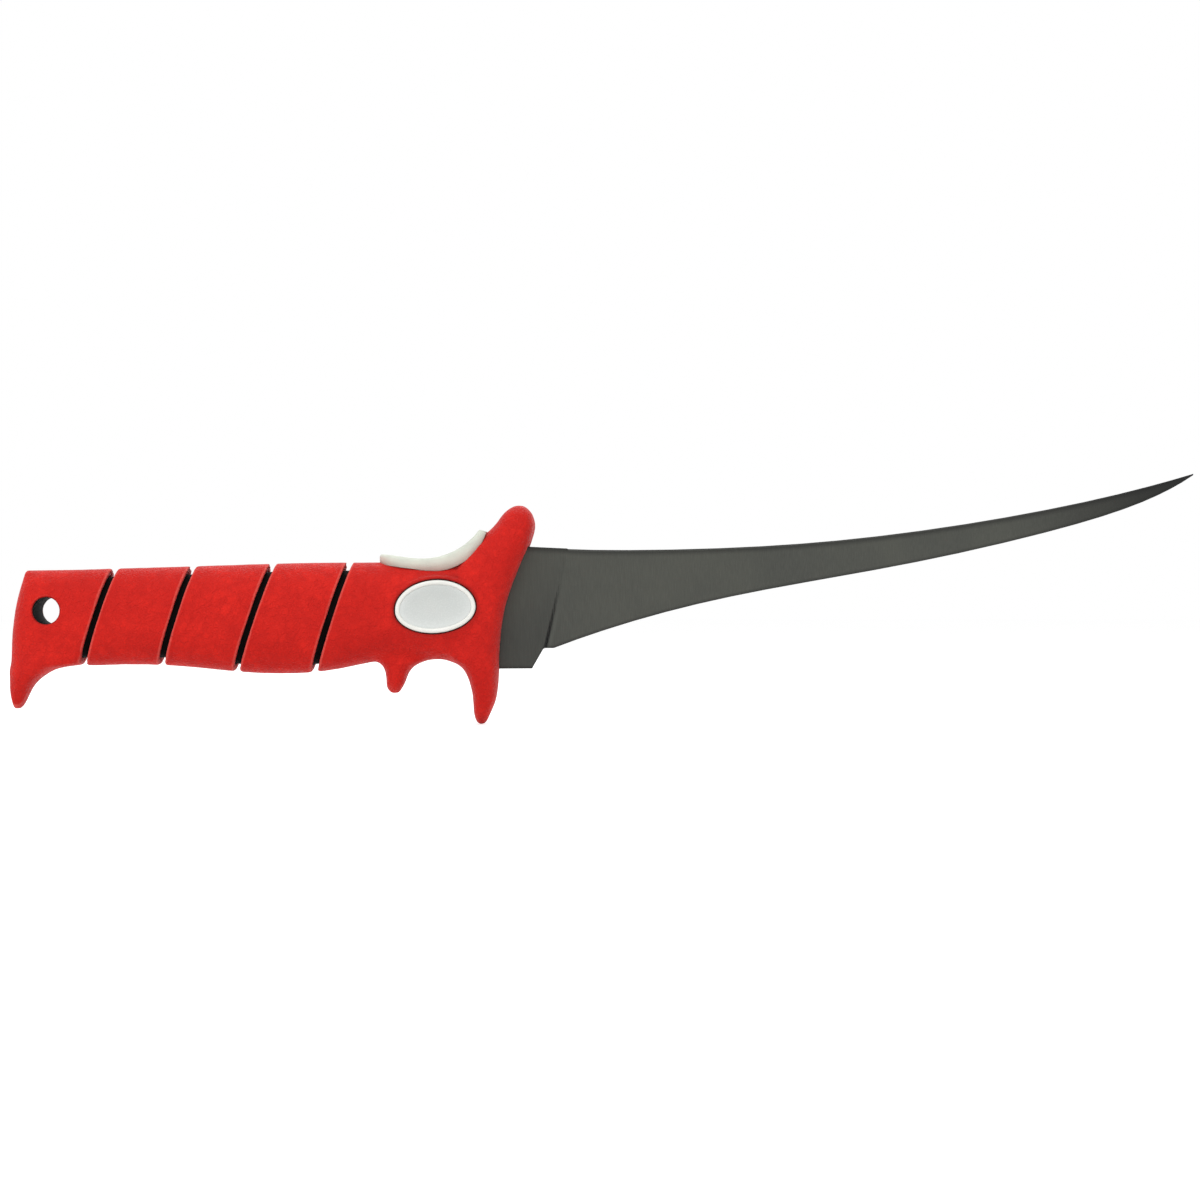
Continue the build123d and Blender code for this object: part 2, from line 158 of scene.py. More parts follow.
# Effects shared by the materials
def makeToneDrift():
    # a colour that drifts towards a second one in soft patches
    tree, given, out = startGroup(
        "toneDrift",
        [("Vector", "Vector", None), ("Colour", "Color", (1, 1, 1, 1)),
         ("Drift Colour", "Color", (0, 0, 0, 1)), ("Patches", "Float", 100.0),
         ("Amount", "Float", 0.3)],
        [("Colour", "Color")],
    )
    patches = addNode(tree, "ShaderNodeTexNoise")
    setInputs(patches, Detail=5.0, Roughness=0.6)
    tree.links.new(given.outputs["Vector"], patches.inputs["Vector"])
    tree.links.new(given.outputs["Patches"], patches.inputs["Scale"])
    spread = rampNode(tree, patches.outputs[0], 0.32, 0.68)
    amount = mathNode(tree, "MULTIPLY", spread, given.outputs["Amount"])
    colour = mixColours(tree, amount, given.outputs["Colour"], given.outputs["Drift Colour"])
    tree.links.new(colour, out.inputs["Colour"])
    return tree


def makeCrinkle():
    # thin irregular creases, as on pebbled leather or a spark-eroded mould
    tree, given, out = startGroup(
        "crinkle",
        [("Vector", "Vector", None), ("Cells", "Float", 300.0), ("Warp", "Float", 0.5),
         ("Crease Width", "Float", 0.1)],
        [("Height", "Float"), ("Crease", "Float")],
    )
    drift = addNode(tree, "ShaderNodeTexNoise")
    setInputs(drift, Detail=3.0, Roughness=0.6)
    tree.links.new(given.outputs["Vector"], drift.inputs["Vector"])
    tree.links.new(given.outputs["Cells"], drift.inputs["Scale"])
    centred = addNode(tree, "ShaderNodeVectorMath", operation="SUBTRACT")
    centred.inputs[1].default_value = (0.5, 0.5, 0.5)
    tree.links.new(drift.outputs[1], centred.inputs[0])
    reach = addNode(tree, "ShaderNodeVectorMath", operation="SCALE")
    tree.links.new(centred.outputs[0], reach.inputs[0])
    warp = mathNode(tree, "DIVIDE", given.outputs["Warp"], given.outputs["Cells"])
    tree.links.new(warp, reach.inputs["Scale"])
    moved = addNode(tree, "ShaderNodeVectorMath", operation="ADD")
    tree.links.new(given.outputs["Vector"], moved.inputs[0])
    tree.links.new(reach.outputs[0], moved.inputs[1])
    cells = addNode(tree, "ShaderNodeTexVoronoi", feature="DISTANCE_TO_EDGE")
    tree.links.new(moved.outputs[0], cells.inputs["Vector"])
    tree.links.new(given.outputs["Cells"], cells.inputs["Scale"])
    height = rampNode(tree, cells.outputs["Distance"], 0.0, given.outputs["Crease Width"])
    tree.links.new(height, out.inputs["Height"])
    tree.links.new(mathNode(tree, "SUBTRACT", 1.0, height), out.inputs["Crease"])
    return tree


def makeGrain():
    # fine grain, drawn out into lines by the stretch
    tree, given, out = startGroup(
        "grain",
        [("Vector", "Vector", None), ("Stretch", "Vector", (1, 1, 1)),
         ("Fineness", "Float", 3000.0)],
        [("Height", "Float")],
    )
    drawn = addNode(tree, "ShaderNodeVectorMath", operation="MULTIPLY")
    tree.links.new(given.outputs["Vector"], drawn.inputs[0])
    tree.links.new(given.outputs["Stretch"], drawn.inputs[1])
    fine = addNode(tree, "ShaderNodeTexNoise")
    setInputs(fine, Detail=3.0, Roughness=0.55)
    tree.links.new(drawn.outputs[0], fine.inputs["Vector"])
    tree.links.new(given.outputs["Fineness"], fine.inputs["Scale"])
    tree.links.new(fine.outputs[0], out.inputs["Height"])
    return tree


def makeBendLightMasks():
    # masks from the bend of the surface in 1/mm, outer edges positive: a painted highlight on outer
    # edges and painted shade in inner corners
    tree, given, out = startGroup(
        "bendLightMasks",
        [("Bend", "Float", 0.0), ("Edge Start", "Float", 0.3), ("Edge Full", "Float", 1.1),
         ("Corner Start", "Float", 0.1), ("Corner Full", "Float", 0.6)],
        [("Edge", "Float"), ("Corner", "Float")],
    )
    bend = given.outputs["Bend"]
    edge = rampNode(tree, bend, given.outputs["Edge Start"], given.outputs["Edge Full"])
    inward = mathNode(tree, "MULTIPLY", bend, -1.0)
    corner = rampNode(tree, inward, given.outputs["Corner Start"], given.outputs["Corner Full"])
    tree.links.new(edge, out.inputs["Edge"])
    tree.links.new(corner, out.inputs["Corner"])
    return tree


toneDrift = makeToneDrift()
crinkle = makeCrinkle()
grain = makeGrain()
bendLightMasks = makeBendLightMasks()
print("shared effects made")


# Materials
def startMaterial(name, **finish):
    # a material with its Principled node and the place on the object, in metres
    material = bpy.data.materials.new(name)
    material.use_nodes = True
    tree = material.node_tree
    principled = tree.nodes["Principled BSDF"]
    setInputs(principled, **finish)
    place = addNode(tree, "ShaderNodeTexCoord").outputs["Object"]
    return material, tree, principled, place


def storedValue(tree, name):
    # a value that the mesh carries at its points
    return addNode(tree, "ShaderNodeAttribute", attribute_name=name).outputs["Fac"]


def joinHeights(tree, principled, effects, look):
    # one bump from several effects, each with its own share of the height
    total = None
    for effect, share in zip(effects, look["reliefShares"]):
        part = mathNode(tree, "MULTIPLY", effect.outputs["Height"], share)
        total = part if total is None else mathNode(tree, "ADD", total, part)
    bump = addNode(tree, "ShaderNodeBump")
    bump.inputs["Distance"].default_value = look["relief"]
    tree.links.new(total, bump.inputs["Height"])
    tree.links.new(bump.outputs["Normal"], principled.inputs["Normal"])


def varyRoughness(tree, principled, effect, low, high):
    # lets the height of an effect move the roughness between two values
    finish = rampNode(tree, effect.outputs["Height"], 0.3, 0.7, low, high)
    tree.links.new(finish, principled.inputs["Roughness"])


def setDrift(node, colour, driftColour):
    # the two colours of a tone drift
    node.inputs["Colour"].default_value = (*colour, 1)
    node.inputs["Drift Colour"].default_value = (*driftColour, 1)


redRubberLook = {
    "colour": (0.74, 0.0180, 0.0100),
    "deepColour": (0.49, 0.0090, 0.0060),
    # the colour of the painted highlight on the outer edges
    "edgeHighlightColour": (0.86, 0.16, 0.13),
    # the colour of the painted shade in inner corners and round the medallion's rims and the
    # lanyard hole
    "paintedShadeColour": (0.13, 0.004, 0.003),
    "patches": 70.0,  # per metre
    "patchAmount": 0.6,
    "mottle": 330.0,
    "mottleAmount": 0.55,
    "creases": {"Cells": 290, "Warp": 2.4, "Crease_Width": 0.22},  # cells per metre
    "pebbles": {"Cells": 1150, "Warp": 1.0, "Crease_Width": 0.32},
    "fineness": 5200.0,
    "bendLight": {"Edge_Start": 0.42, "Edge_Full": 1.25},  # bends in 1/mm
    # the creases, inner corners and rims get painted shade, the outer edges a painted highlight
    "creaseShare": 0.32,  # how far each mask takes the colour to its tint
    "pebbleShare": 0.20,
    "edgeHighlightShare": 0.40,
    "cornerShare": 0.5,
    "rimShare": 0.75,
    "roughness": (0.54, 0.72),
    "relief": 0.20 * mm,
    "reliefShares": (0.5, 0.35, 0.15),  # of creases, pebbles and grain
    "specular": 0.14,
    "sheen": 0.09,  # the pale bloom of rubber where it turns away
    "sheenRoughness": 0.4,
}


def makeRedRubber():
    look = redRubberLook
    material, tree, principled, place = startMaterial(
        "redRubber",
        Specular_IOR_Level=look["specular"],
        Sheen_Weight=look["sheen"],
        Sheen_Roughness=look["sheenRoughness"],
    )
    drift = useGroup(tree, toneDrift, Patches=look["patches"], Amount=look["patchAmount"])
    setDrift(drift, look["colour"], look["deepColour"])
    mottle = useGroup(tree, toneDrift, Patches=look["mottle"], Amount=look["mottleAmount"])
    tree.links.new(drift.outputs["Colour"], mottle.inputs["Colour"])
    mottle.inputs["Drift Colour"].default_value = (*look["deepColour"], 1)
    wrinkles = useGroup(tree, crinkle, **look["creases"])
    pebbles = useGroup(tree, crinkle, **look["pebbles"])
    fine = useGroup(tree, grain, Fineness=look["fineness"])
    bendLight = useGroup(tree, bendLightMasks, **look["bendLight"])
    tree.links.new(storedValue(tree, "bend"), bendLight.inputs["Bend"])
    rimShade = storedValue(tree, "rimShade")
    # no painted highlight on the edges beside the rims and the hole, where the painted shade lies
    clearOfRimShade = rampNode(tree, rimShade, 0.0, 0.1, 1.0, 0.0)
    paintedHighlight = mathNode(tree, "MULTIPLY", bendLight.outputs["Edge"], clearOfRimShade)
    for node in (drift, mottle, wrinkles, pebbles, fine):
        tree.links.new(place, node.inputs["Vector"])
    colour = mottle.outputs["Colour"]
    # painted shade in the texture's creases, painted highlight on outer edges, painted shade in
    # inner corners and beside the rims and the hole
    for mask, share, tint in (
        (wrinkles.outputs["Crease"], look["creaseShare"], look["deepColour"]),
        (pebbles.outputs["Crease"], look["pebbleShare"], look["deepColour"]),
        (paintedHighlight, look["edgeHighlightShare"], look["edgeHighlightColour"]),
        (bendLight.outputs["Corner"], look["cornerShare"], look["paintedShadeColour"]),
        (rimShade, look["rimShare"], look["paintedShadeColour"]),
    ):
        colour = mixColours(tree, mathNode(tree, "MULTIPLY", mask, share), colour, tint)
    tree.links.new(colour, principled.inputs["Base Color"])
    varyRoughness(tree, principled, fine, *look["roughness"])
    joinHeights(tree, principled, (wrinkles, pebbles, fine), look)
    return material


bladeLook = {
    "colour": (0.064, 0.066, 0.056),
    "coolColour": (0.051, 0.053, 0.047),
    "lineColour": (0.098, 0.100, 0.088),
    # the tone of the painted shade on the blade
    "darkColour": (0.012, 0.012, 0.012),
    "patches": 38.0,  # per metre
    "patchAmount": 0.8,
    "lineFineness": 900.0,
    "lineRange": (0.3, 0.75),  # grain heights between which the light lines come in
    "lineStretch": (6.0, 6.0, 0.22),
    "speckFineness": 4200.0,
    "lineShare": 0.30,  # how far each mask takes the colour to its tint
    # the shine is a painted highlight; the flat, spine, edge, tip and plunge shares give painted
    # shade
    "shineShare": 0.35,
    "flatShare": 0.22,
    "spineShare": 0.72,
    "edgeShare": 0.5,
    "tipShare": 0.9,
    "plungeShare": 0.92,
    "spineBand": (0.0, 2.3),  # mm from the spine over which its painted shade fades
    "edgeBand": (0.1, 1.3),  # mm from the edge over which its painted shade fades
    "tipFade": (0.0, 60.0),  # mm from the tip over which its painted shade fades
    "plungeFoot": (148.2 * mm, -11.2 * mm),  # where the ground part starts, at its lower end
    "plungeLean": 0.229,  # forward per unit of rise
    "plungeWidth": 0.75 * mm,
    "plungeCore": 0.35,  # darkest part of the painted shade line, in its widths, as the next three are
    "shineAhead": 1.7,
    "shineCore": 0.1,
    "flatBlend": 0.3,
    "flatLeast": 0.25,  # what is left of the ricasso's painted shade at its top
    "plungeRise": 22 * mm,  # the line fades out this far up
    "flatRise": 31 * mm,  # and the painted shade of the ricasso this far up
    "metallic": 0.55,
    "specular": 0.3,
    "roughness": (0.36, 0.50),
    "relief": 0.02 * mm,
    "reliefShares": (0.6, 0.4),  # of lines and specks
}


def plungeMasks(tree, place, look):
    # painted shade in a dark line where the ground part starts, a painted highlight in the light
    # line ahead of it, and the flat behind it, which gets painted shade
    axes = addNode(tree, "ShaderNodeSeparateXYZ")
    tree.links.new(place, axes.inputs[0])
    rise = mathNode(tree, "SUBTRACT", axes.outputs["Z"], look["plungeFoot"][1])
    lean = mathNode(tree, "MULTIPLY", rise, look["plungeLean"])
    ahead = mathNode(tree, "SUBTRACT", axes.outputs["X"], look["plungeFoot"][0])
    ahead = mathNode(tree, "SUBTRACT", ahead, lean)
    width = look["plungeWidth"]
    fade = rampNode(tree, rise, 0.0, look["plungeRise"], 1.0, 0.0)
    away = mathNode(tree, "ABSOLUTE", ahead)
    line = rampNode(tree, away, look["plungeCore"] * width, width, 1.0, 0.0)
    line = mathNode(tree, "MULTIPLY", line, fade)
    beside = mathNode(tree, "SUBTRACT", ahead, look["shineAhead"] * width)
    beside = mathNode(tree, "ABSOLUTE", beside)
    shine = rampNode(tree, beside, look["shineCore"] * width, width, 1.0, 0.0)
    shine = mathNode(tree, "MULTIPLY", shine, fade)
    blend = look["flatBlend"] * width
    flat = rampNode(tree, ahead, -blend, blend, 1.0, 0.0)
    upward = rampNode(tree, rise, 0.0, look["flatRise"], 1.0, look["flatLeast"])
    flat = mathNode(tree, "MULTIPLY", flat, upward)
    return line, shine, flat


def makeBladeCoating():
    look = bladeLook
    material, tree, principled, place = startMaterial(
        "bladeCoating", Metallic=look["metallic"], Specular_IOR_Level=look["specular"]
    )
    drift = useGroup(tree, toneDrift, Patches=look["patches"], Amount=look["patchAmount"])
    setDrift(drift, look["colour"], look["coolColour"])
    lines = useGroup(tree, grain, Fineness=look["lineFineness"], Stretch=look["lineStretch"])
    specks = useGroup(tree, grain, Fineness=look["speckFineness"])
    for node in (drift, lines, specks):
        tree.links.new(place, node.inputs["Vector"])
    plungeLine, plungeShine, flat = plungeMasks(tree, place, look)
    fromSpine = storedValue(tree, "fromSpine")
    fromEdge = storedValue(tree, "fromEdge")
    fromTip = storedValue(tree, "fromTip")
    light, dark = look["lineColour"], look["darkColour"]
    drawn = rampNode(tree, lines.outputs["Height"], *look["lineRange"], 0.0, look["lineShare"])
    colour = drift.outputs["Colour"]
    # brushed lines, then a painted highlight ahead of the plunge and painted shade on the flat,
    # along spine and edge, towards the tip and on the plunge line
    for mask, tint in (
        (drawn, light),
        (mathNode(tree, "MULTIPLY", plungeShine, look["shineShare"]), light),
        (mathNode(tree, "MULTIPLY", flat, look["flatShare"]), dark),
        (rampNode(tree, fromSpine, *look["spineBand"], look["spineShare"], 0.0), dark),
        (rampNode(tree, fromEdge, *look["edgeBand"], look["edgeShare"], 0.0), dark),
        (rampNode(tree, fromTip, *look["tipFade"], look["tipShare"], 0.0), dark),
        (mathNode(tree, "MULTIPLY", plungeLine, look["plungeShare"]), dark),
    ):
        colour = mixColours(tree, mask, colour, tint)
    tree.links.new(colour, principled.inputs["Base Color"])
    varyRoughness(tree, principled, specks, *look["roughness"])
    joinHeights(tree, principled, (lines, specks), look)
    return material


plasticSkin = {
    # what the plastics have in common
    "patches": 140.0,  # per metre
    "patchAmount": 0.8,
    "warp": 0.8,
    "creaseWidth": 0.35,
    "bendLight": {"Edge_Start": 0.3, "Edge_Full": 1.2},  # bends in 1/mm
    "edgeShare": 0.6,  # how far the painted highlight takes over on an edge
    "reliefShares": (0.6, 0.4),  # of creases and grain
}
# in each, the paler tone after the drift goes to the painted highlight on edges and the painted
# light on the dish
plasticLooks = {
    "blackPlastic": {
        "colour": (0.0025, 0.0022, 0.0022),
        "drift": (0.006, 0.005, 0.005),
        "paintedHighlight": (0.02, 0.018, 0.018),
        "roughness": (0.69, 0.83),
        "fineness": 3800.0,
        "cells": 900.0,
        "relief": 0.05 * mm,
        "specular": 0.06,
    },
    "creamPlastic": {
        "colour": (0.70, 0.73, 0.635),
        "drift": (0.60, 0.63, 0.55),
        "paintedHighlight": (0.80, 0.82, 0.75),
        "roughness": (0.36, 0.50),
        "fineness": 3200.0,
        "cells": 1300.0,
        "relief": 0.03 * mm,
        "specular": 0.4,
    },
    "whitePlastic": {
        "colour": (0.84, 0.84, 0.79),
        "drift": (0.78, 0.79, 0.74),
        "paintedHighlight": (0.88, 0.88, 0.85),
        "roughness": (0.22, 0.36),
        "fineness": 2600.0,
        "cells": 1500.0,
        "relief": 0.012 * mm,
        "specular": 0.45,
    },
    "greyPlastic": {
        "colour": (0.56, 0.59, 0.565),
        "drift": (0.53, 0.56, 0.54),
        "paintedHighlight": (0.66, 0.69, 0.67),
        "roughness": (0.18, 0.32),
        "fineness": 2800.0,
        "cells": 1700.0,
        "relief": 0.01 * mm,
        "specular": 0.5,
    },
}


def makePlastic(name):
    look = {**plasticSkin, **plasticLooks[name]}
    material, tree, principled, place = startMaterial(name, Specular_IOR_Level=look["specular"])
    drift = useGroup(tree, toneDrift, Patches=look["patches"], Amount=look["patchAmount"])
    setDrift(drift, look["colour"], look["drift"])
    creases = {"Cells": look["cells"], "Warp": look["warp"], "Crease_Width": look["creaseWidth"]}
    skin = useGroup(tree, crinkle, **creases)
    fine = useGroup(tree, grain, Fineness=look["fineness"])
    bendLight = useGroup(tree, bendLightMasks, **look["bendLight"])
    tree.links.new(storedValue(tree, "bend"), bendLight.inputs["Bend"])
    for node in (drift, skin, fine):
        tree.links.new(place, node.inputs["Vector"])
    # the stored pale value is painted light on the dish, paler towards its foot and border; then a
    # painted highlight on outer edges
    colour = mixColours(tree, storedValue(tree, "pale"), drift.outputs["Colour"], look["paintedHighlight"])
    edge = mathNode(tree, "MULTIPLY", bendLight.outputs["Edge"], look["edgeShare"])
    colour = mixColours(tree, edge, colour, look["paintedHighlight"])
    tree.links.new(colour, principled.inputs["Base Color"])
    varyRoughness(tree, principled, fine, *look["roughness"])
    joinHeights(tree, principled, (skin, fine), look)
    return material


rivetLook = {
    "colour": (0.56, 0.56, 0.57),
    "drift": (0.42, 0.42, 0.43),
    "patches": 700.0,  # per metre
    "patchAmount": 0.6,
    "fineness": 2400.0,
    "stretch": (1.0, 8.0, 1.0),  # into rings, as turned
    "roughness": (0.28, 0.42),
    "relief": 0.01 * mm,
    "reliefShares": (1.0,),
}


def makeRivetSteel():
    look = rivetLook
    material, tree, principled, place = startMaterial("rivetSteel", Metallic=1.0)
    drift = useGroup(tree, toneDrift, Patches=look["patches"], Amount=look["patchAmount"])
    setDrift(drift, look["colour"], look["drift"])
    turned = useGroup(tree, grain, Fineness=look["fineness"], Stretch=look["stretch"])
    for node in (drift, turned):
        tree.links.new(place, node.inputs["Vector"])
    tree.links.new(drift.outputs["Colour"], principled.inputs["Base Color"])
    varyRoughness(tree, principled, turned, *look["roughness"])
    joinHeights(tree, principled, (turned,), look)
    return material


redRubber = makeRedRubber()
bladeCoating = makeBladeCoating()
rivetSteel = makeRivetSteel()
blackPlastic, creamPlastic, whitePlastic, greyPlastic = (makePlastic(name) for name in plasticLooks)
print("materials made")


# Mesh helpers
weldDistance = 0.0005 * mm


def newPiece(name, mesh, material, slot, *nodes):
    # a piece on the knife's one body, standing for its CAD nodes
    piece = bpy.data.objects.new(name, mesh)
    scene.collection.objects.link(piece)
    mesh.materials.clear()
    mesh.materials.append(material)
    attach(piece, "root")
    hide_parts(*nodes)
    return piece


def weldedMesh(nodeName, meshName):
    # a node's mesh with the vertices joined that the file keeps apart
    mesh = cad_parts[nodeName].data.copy()
    mesh.name = meshName
    form = bmesh.new()
    form.from_mesh(mesh)
    bmesh.ops.remove_doubles(form, verts=form.verts, dist=weldDistance)
    form.to_mesh(mesh)
    form.free()
    return mesh


def smoothShade(mesh, sharpAngle):
    # smooth, with sharp edges from an angle in degrees
    mesh.shade_smooth()
    mesh.set_sharp_from_angle(angle=math.radians(sharpAngle))


def applyModifiers(piece):
    depsgraph = bpy.context.evaluated_depsgraph_get()
    mesh = bpy.data.meshes.new_from_object(piece.evaluated_get(depsgraph))
    piece.modifiers.clear()
    piece.data = mesh


def readPoints(mesh):
    points = np.empty(len(mesh.vertices) * 3)
    mesh.vertices.foreach_get("co", points)
    return points.reshape(-1, 3)


def writePoints(mesh, points):
    mesh.vertices.foreach_set("co", points.ravel())
    mesh.update()


def readNormals(mesh, points):
    writePoints(mesh, points)
    normals = np.empty(len(mesh.vertices) * 3)
    mesh.vertex_normals.foreach_get("vector", normals)
    return normals.reshape(-1, 3)


def meshShape(mesh):
    # a mesh's points and faces, for a search tree
    return [vertex.co for vertex in mesh.vertices], [face.vertices for face in mesh.polygons]


def neighbourMean(mesh):
    # gives a function that averages each point's neighbours, and the mean edge length squared
    ends = np.empty(len(mesh.edges) * 2, dtype=np.int64)
    mesh.edges.foreach_get("vertices", ends)
    first, second = ends.reshape(-1, 2).T
    count = len(mesh.vertices)
    touching = np.maximum(np.bincount(ends, minlength=count), 1)

    def mean(values):
        columns = []
        for column in values.reshape(count, -1).T:
            total = np.bincount(first, column[second], count)
            total += np.bincount(second, column[first], count)
            columns.append(total / touching)
        return np.stack(columns, 1).reshape(values.shape)

    points = readPoints(mesh)
    lengths = ((points[first] - points[second]) ** 2).sum(1)
    spread = (np.bincount(first, lengths, count) + np.bincount(second, lengths, count)) / touching
    return mean, np.maximum(spread, 1e-12)


def storeBend(mesh, rounds):
    # the bend of the surface in 1/mm, outer edges positive, evened out over some rounds
    points = readPoints(mesh)
    normals = readNormals(mesh, points)
    mean, spread = neighbourMean(mesh)
    bend = -4 * ((mean(points) - points) * normals).sum(1) / spread * mm
    for _ in range(rounds):
        bend = (bend + mean(bend)) / 2
    mesh.attributes.new("bend", "FLOAT", "POINT").data.foreach_set("value", bend)


# Rubber grip
rubberForm = {
    "voxel": 0.40 * mm,
    "softening": 4,  # rounds of smoothing that give the moulded corners
    "filling": 60,  # rounds that fill the inner corners, as a mould's fillets do
    "stride": 0.5,  # how far one round goes towards the neighbours' mean
    "normalsEvery": 6,  # rounds of filling between two readings of the normals
    "crispShare": 0.35,  # what is left of the smoothing beside another piece
    "fillFrom": 0.99,  # weight from which inner corners are filled
    "bendRounds": 4,
    "rippleSize": 4.5,  # mm
    "rippleDepth": 0.10 * mm,
    "rippleNoise": (0.9, 2.1, 3),  # falloff, step in size and number of octaves
    "medallionGap": 0.25 * mm,
    "medallionMargin": 0.6 * mm,  # round the rims, kept crisp
    "rimShade": 1.3 * mm,  # how far the painted shade reaches from the rim
    "slotFrom": 122.0 * mm,  # where the slot for the blade starts
    "slotUnder": 1 * mm,  # and how far it goes below the blade
    "slotTop": 20.5 * mm,
    "lipWidth": (1.6 * mm, 2.8 * mm),  # beside the blade, kept crisp up to the first
    "seatMargin": 0.9 * mm,  # round the thumb rest, kept crisp
    "holeRadius": 4.0 * mm,
    "holeMargin": 1 * mm,  # round the lanyard hole, kept crisp
    "holeShade": 0.7 * mm,  # how far the painted shade reaches from it
}
tailForm = {
    # more smoothing for the ridges of the pommel's rear, with where it starts and its blend
    "rounds": 150,
    "length": (8 * mm, 3 * mm),  # from the rear
    "side": (4 * mm, 2 * mm),  # out from the middle
    "top": (0.5 * mm, 2 * mm),  # down from the top
}
rubberPieces = {
    "grip_pommel": "rubberPommel",
    "grip_band_rear": "rubberBandRear",
    "grip_band_middle": "rubberBandMiddle",
    "grip_band_front": "rubberBandFront",
    "grip_front": "rubberFront",
}
fingerArch = {
    # place along the knife, reach and lift of each nudge
    "nudges": [(118.7 * mm, 3.1 * mm, 0.50 * mm), (113.3 * mm, 2.4 * mm, -0.38 * mm)],
    "top": -12.5 * mm,  # only what lies below this moves
    "blend": 1.5 * mm,
}
medallion = {
    "place": (115.78 * mm, 0.6 * mm),
    "halfLength": 12.0 * mm,
    "rise": 8.5 * mm,  # longest line to the top
    "fall": 7.2 * mm,  # longest line to the bottom
    "tilt": math.radians(4.5),
    "rimWidth": 1.4 * mm,
    "drawnFrom": 0.5,  # share of the oval past which the rubber is drawn back from the rims
}


def ovalReach(points, margin):
    # how far out from the medallion's centre each point is, where 1 is its outline plus a margin
    stepX = points[:, 0] - medallion["place"][0]
    stepZ = points[:, 2] - medallion["place"][1]
    cosTilt, sinTilt = math.cos(medallion["tilt"]), math.sin(medallion["tilt"])
    along = (stepX * cosTilt + stepZ * sinTilt) / (medallion["halfLength"] + margin)
    rise = stepZ * cosTilt - stepX * sinTilt
    height = np.where(rise > 0, medallion["rise"], medallion["fall"]) + margin
    return np.hypot(along, rise / height)


def formWeights(nodeName, points):
    # 1 where the rubber is rounded, less where it meets another piece and stays crisp
    weights = np.ones(len(points))
    crispShare = rubberForm["crispShare"]
    if nodeName == "grip_pommel":
        radius = np.hypot(points[:, 0], points[:, 2])
        weights[radius < rubberForm["holeRadius"] + rubberForm["holeMargin"]] = crispShare
    if nodeName != "grip_front":
        return weights
    crisp, free = rubberForm["lipWidth"]
    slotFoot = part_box("blade")[0].z - rubberForm["slotUnder"]
    besideBlade = points[:, 0] > rubberForm["slotFrom"]
    besideBlade &= (points[:, 2] > slotFoot) & (points[:, 2] < rubberForm["slotTop"])
    lip = np.clip((np.abs(points[:, 1]) - crisp) / (free - crisp), 0, 1)
    weights = np.where(besideBlade, lip, weights)
    low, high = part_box("thumb_rest")
    margin = rubberForm["seatMargin"]
    inSeat = np.ones(len(points), dtype=bool)
    for axis in range(3):
        inSeat &= (points[:, axis] > low[axis] - margin) & (points[:, axis] < high[axis] + margin)
    seat = BVHTree.FromPolygons(*meshShape(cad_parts["thumb_rest"].data))
    for index in np.flatnonzero(inSeat):
        if seat.find_nearest(points[index], margin)[0] is not None:
            weights[index] *= crispShare
    weights[ovalReach(points, rubberForm["medallionMargin"]) < 1] *= crispShare
    return weights


def roundForm(nodeName, mesh):
    # rounds the outer corners a little and fills the inner ones
    mean, _ = neighbourMean(mesh)
    points = readPoints(mesh)
    weights = formWeights(nodeName, points)[:, None]
    stride = rubberForm["stride"]
    for _ in range(rubberForm["softening"]):
        points += stride * weights * (mean(points) - points)
    fillWeights = np.where(weights < rubberForm["fillFrom"], 0.0, 1.0)[:, 0]
    for turn in range(rubberForm["filling"]):
        if turn % rubberForm["normalsEvery"] == 0:
            normals = readNormals(mesh, points)
        outward = ((mean(points) - points) * normals).sum(1)
        points += (stride * fillWeights * np.maximum(outward, 0))[:, None] * normals
    writePoints(mesh, points)


def softenTail(mesh):
    # evens out the upright ridges beside the pommel's rear face
    mean, _ = neighbourMean(mesh)
    points = readPoints(mesh)
    low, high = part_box("grip_pommel")
    length, lengthBlend = tailForm["length"]
    side, sideBlend = tailForm["side"]
    drop, dropBlend = tailForm["top"]
    weights = np.clip((low.x + length - points[:, 0]) / lengthBlend, 0, 1)
    weights *= np.clip((np.abs(points[:, 1]) - side) / sideBlend, 0, 1)
    weights *= np.clip((high.z - drop - points[:, 2]) / dropBlend, 0, 1)
    for _ in range(tailForm["rounds"]):
        points += rubberForm["stride"] * weights[:, None] * (mean(points) - points)
    writePoints(mesh, points)


def storeShade(mesh, away, reach):
    # painted shade beside a rim: full where the distance from it is nothing, none at the reach
    shade = np.clip(1 - away / reach, 0, 1) ** 2
    mesh.attributes.new("rimShade", "FLOAT", "POINT").data.foreach_set("value", shade)


def clearMedallion(mesh):
    # draws the rubber back from the rims
    points = readPoints(mesh)
    innerFace = -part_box("medallion_rim_right")[1].y
    outside = np.abs(points[:, 1]) > innerFace
    reach = ovalReach(points, rubberForm["medallionGap"])
    centre = medallion["place"]
    inside = outside & (reach > medallion["drawnFrom"]) & (reach < 1)
    points[inside, 0] = centre[0] + (points[inside, 0] - centre[0]) / reach[inside]
    points[inside, 2] = centre[1] + (points[inside, 2] - centre[1]) / reach[inside]
    writePoints(mesh, points)
    # painted shade round the rims
    away = (ovalReach(points, rubberForm["medallionGap"]) - 1) * medallion["rise"]
    storeShade(mesh, np.where(outside, away, rubberForm["rimShade"]), rubberForm["rimShade"])


def evenArch(mesh):
    # gives the underside between spur and guard the even arch that the finger sits in
    points = readPoints(mesh)
    below = np.clip((fingerArch["top"] - points[:, 2]) / fingerArch["blend"], 0, 1)
    for place, reach, lift in fingerArch["nudges"]:
        points[:, 2] += below * lift * np.exp(-((points[:, 0] - place) / reach) ** 2)
    writePoints(mesh, points)


